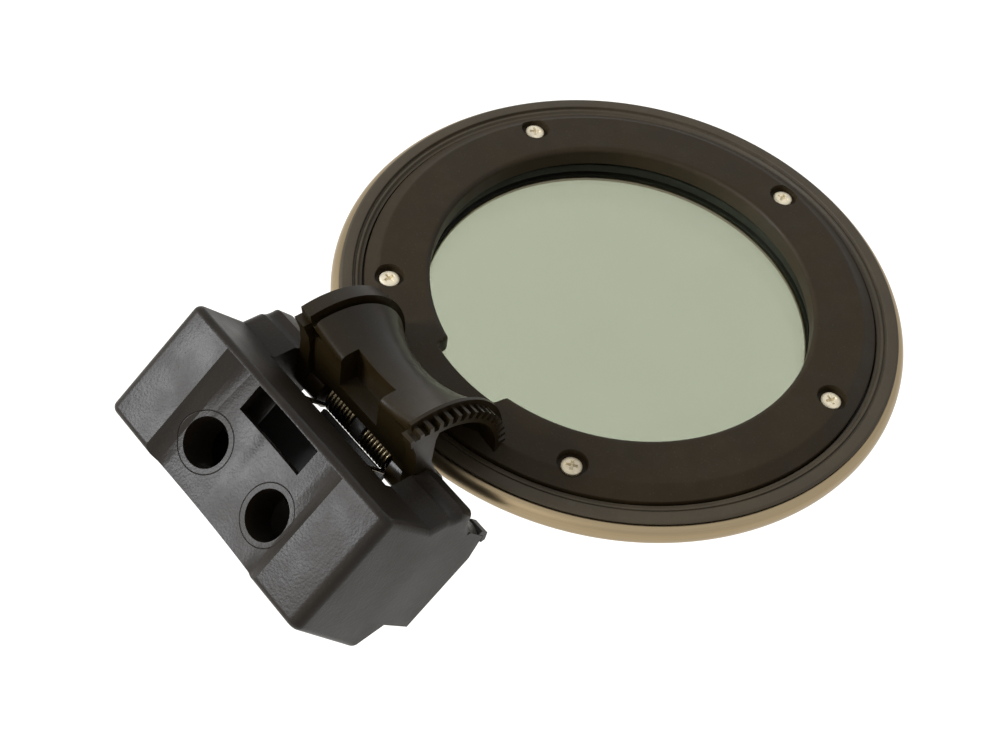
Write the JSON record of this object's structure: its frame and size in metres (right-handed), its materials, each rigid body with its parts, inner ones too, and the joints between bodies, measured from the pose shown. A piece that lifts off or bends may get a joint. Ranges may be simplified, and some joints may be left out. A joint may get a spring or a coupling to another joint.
{
  "type": "hinged round lid with viewing window",
  "caption": "Round glass-windowed lid in a satin steel trim, on a sprung toothed hinge arm carried by a moulded mounting housing.",
  "frame": {"origin": "centre of the flat outer face of the lid's trim", "axes": "+Z along the lid's axis from its outer face to its gasketed underside, +X along the hinge axis, hinge on the -Y side of the lid"},
  "size_m": [0.2056, 0.2787, 0.071],
  "materials": {
    "trim_steel": "satin spun stainless steel",
    "pane_glass": "clear float glass with a faint green tint",
    "frame_plastic": "fine-textured heat-resistant moulding, warm black",
    "carrier_plastic": "plain black moulding",
    "gasket_rubber": "dull dark olive-grey rubber",
    "seal_rubber": "black rubber",
    "screw_steel": "bright plated steel",
    "bush_plastic": "smooth dark bearing plastic",
    "pin_steel": "ground steel rod",
    "spring_steel": "drawn spring wire",
    "housing_plastic": "fine spark-eroded texture, dark grey",
    "cover_plastic": "plain black moulding"
  },
  "bodies": {
    "housing": {"mount_housing": "housing_plastic", "housing_cover": "cover_plastic", "cover_screws": "screw_steel", "side_clip_right": "cover_plastic", "side_clip_left": "cover_plastic", "hinge_pin": "pin_steel", "spring_spool": "bush_plastic", "torsion_spring_right": "spring_steel", "torsion_spring_left": "spring_steel"},
    "lid": {"trim_ring": "trim_steel", "outer_glass_seal": "seal_rubber", "outer_glass": "pane_glass", "lid_carrier": "carrier_plastic", "pane_spacer": "carrier_plastic", "inner_glass": "pane_glass", "inner_glass_seal": "seal_rubber", "window_frame": "frame_plastic", "lid_gasket": "gasket_rubber", "frame_screws": "screw_steel", "hinge_arm": "frame_plastic", "hinge_bush_left": "bush_plastic", "hinge_bush_right": "bush_plastic"}
  },
  "joints": [
    {"name": "lid_hinge", "type": "hinge", "parent": "housing", "child": "lid", "pos_m": [0, -0.1125, 0.02], "axis": [1, 0, 0], "range_deg": [-75, 0]}
  ]
}
